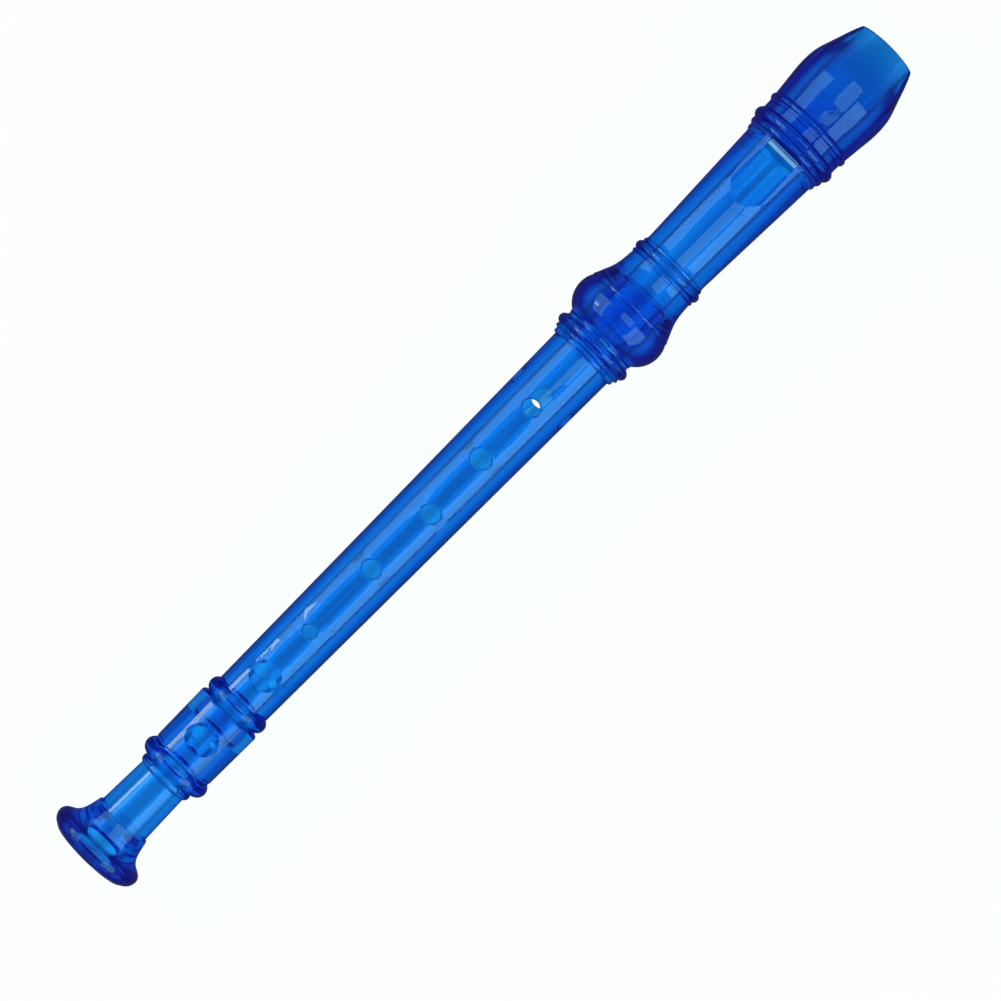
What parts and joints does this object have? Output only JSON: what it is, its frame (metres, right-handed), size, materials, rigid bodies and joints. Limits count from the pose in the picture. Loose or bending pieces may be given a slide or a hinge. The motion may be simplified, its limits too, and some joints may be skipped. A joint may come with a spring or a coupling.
{
  "type": "soprano recorder",
  "caption": "Soprano recorder in see-through plastic: ringed head joint with beak, windway and window, tapered tube with finger holes, and a turning foot joint with a flared bell.",
  "frame": {"origin": "centre of the bell's flat end face, on the bore's axis", "axes": "+X runs along the bore from the bell to the mouth end, +Z points out of the finger-hole side, +Y completes the right-handed set"},
  "size_m": [0.3292, 0.0316, 0.0316],
  "materials": {
    "clear_blue_plastic": "polished, see-through, tinted cobalt blue all through"
  },
  "bodies": {
    "foot": {"foot_joint": "clear_blue_plastic"},
    "middle": {"middle_joint": "clear_blue_plastic"},
    "head": {"head_joint": "clear_blue_plastic", "block": "clear_blue_plastic"}
  },
  "joints": [
    {"name": "head_pull", "type": "slide", "parent": "middle", "child": "head", "axis": [1, 0, 0], "range_m": [0, 0.0243]},
    {"name": "foot_turn", "type": "hinge", "parent": "foot", "child": "middle", "pos_m": [0.0546, 0, 0], "axis": [1, 0, 0], "continuous": true}
  ]
}
